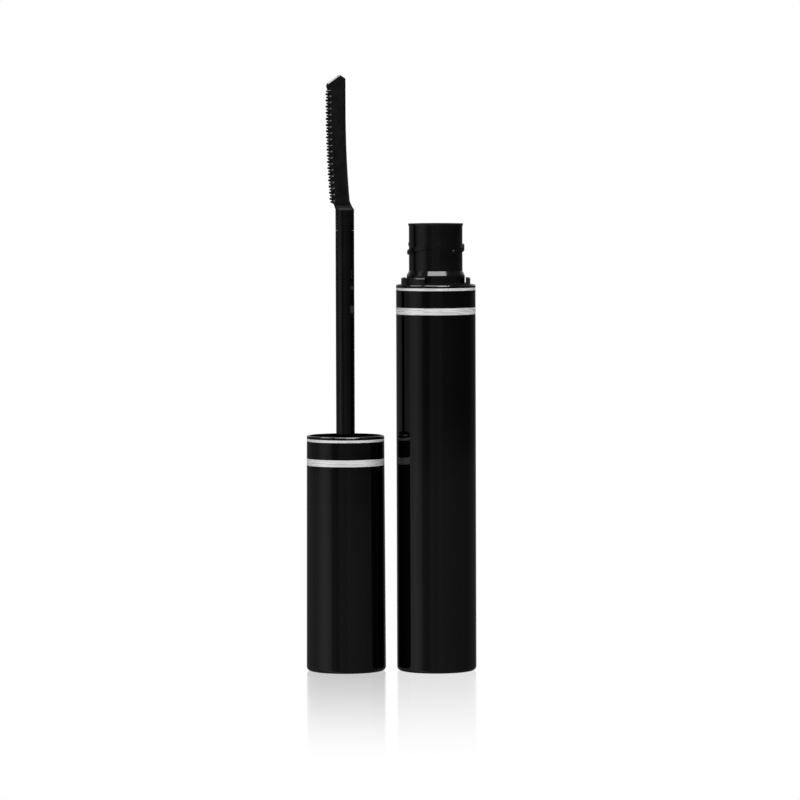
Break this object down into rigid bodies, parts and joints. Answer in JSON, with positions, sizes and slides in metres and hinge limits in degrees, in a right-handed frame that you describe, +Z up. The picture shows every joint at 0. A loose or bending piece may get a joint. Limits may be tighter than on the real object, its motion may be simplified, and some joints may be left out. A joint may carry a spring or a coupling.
{
  "type": "mascara tube",
  "caption": "Slim round mascara tube laid out open: threaded bottle with a wiper, and a weighted cap whose hollow stem carries a bowed comb brush.",
  "frame": {"origin": "centre of the bottle's base, on the surface it stands on", "axes": "+Z up along the bottle's axis, the cap and wand stand on the -X side, -Y is the front"},
  "size_m": [0.0364, 0.017, 0.1275],
  "materials": {
    "gloss_black_casing": "high gloss black lacquer",
    "black_bottle_plastic": "semi-gloss moulded black",
    "black_collar_plastic": "semi-gloss moulded black",
    "soft_wiper": "soft matt black polyethylene",
    "formula": "wet black paste",
    "bright_band": "polished silver",
    "blank_label": "plain satin label, blank",
    "liner_plastic": "satin moulded black",
    "stem_plastic": "semi-gloss moulded black",
    "brush_elastomer": "satin black elastomer",
    "seal_foam": "pale soft washer",
    "weight_steel": "turned steel",
    "pin_steel": "drawn steel"
  },
  "bodies": {
    "bottle": {"outer_sleeve": "gloss_black_casing", "inner_bottle": "black_bottle_plastic", "shoulder_collar": "black_collar_plastic", "wiper": "soft_wiper", "mascara_formula": "formula", "bottle_band_thin": "bright_band", "bottle_band_wide": "bright_band", "base_label": "blank_label"},
    "turning_wand": {"brush_pin": "pin_steel"},
    "sliding_wand": {"cap_weight": "weight_steel"},
    "wand_seal": {"seal_washer": "seal_foam"},
    "cap_and_wand": {"cap_shell": "gloss_black_casing", "inner_cap": "liner_plastic", "stem": "stem_plastic", "comb_brush": "brush_elastomer", "cap_band_thin": "bright_band", "cap_band_wide": "bright_band"}
  },
  "joints": [
    {"name": "wand_turn_over", "type": "hinge", "parent": "bottle", "child": "turning_wand", "pos_m": [-0.0097, 0, 0.11365], "axis": [0, 1, 0], "range_deg": [0, 180]},
    {"name": "wand_insert", "type": "slide", "parent": "turning_wand", "child": "sliding_wand", "axis": [0, 0, 1], "range_m": [0, 0.09155]},
    {"name": "thread_travel", "type": "slide", "parent": "sliding_wand", "child": "wand_seal", "axis": [0, 0, 1], "range_m": [0, 0.0024]},
    {"name": "cap_turn", "type": "hinge", "parent": "wand_seal", "child": "cap_and_wand", "pos_m": [-0.0194, 0, 0], "axis": [0, 0, 1], "range_deg": [0, 120]}
  ],
  "couplings": [
    {"joint": "thread_travel", "follows": "cap_turn", "m_per_rad": 0.0011459}
  ]
}
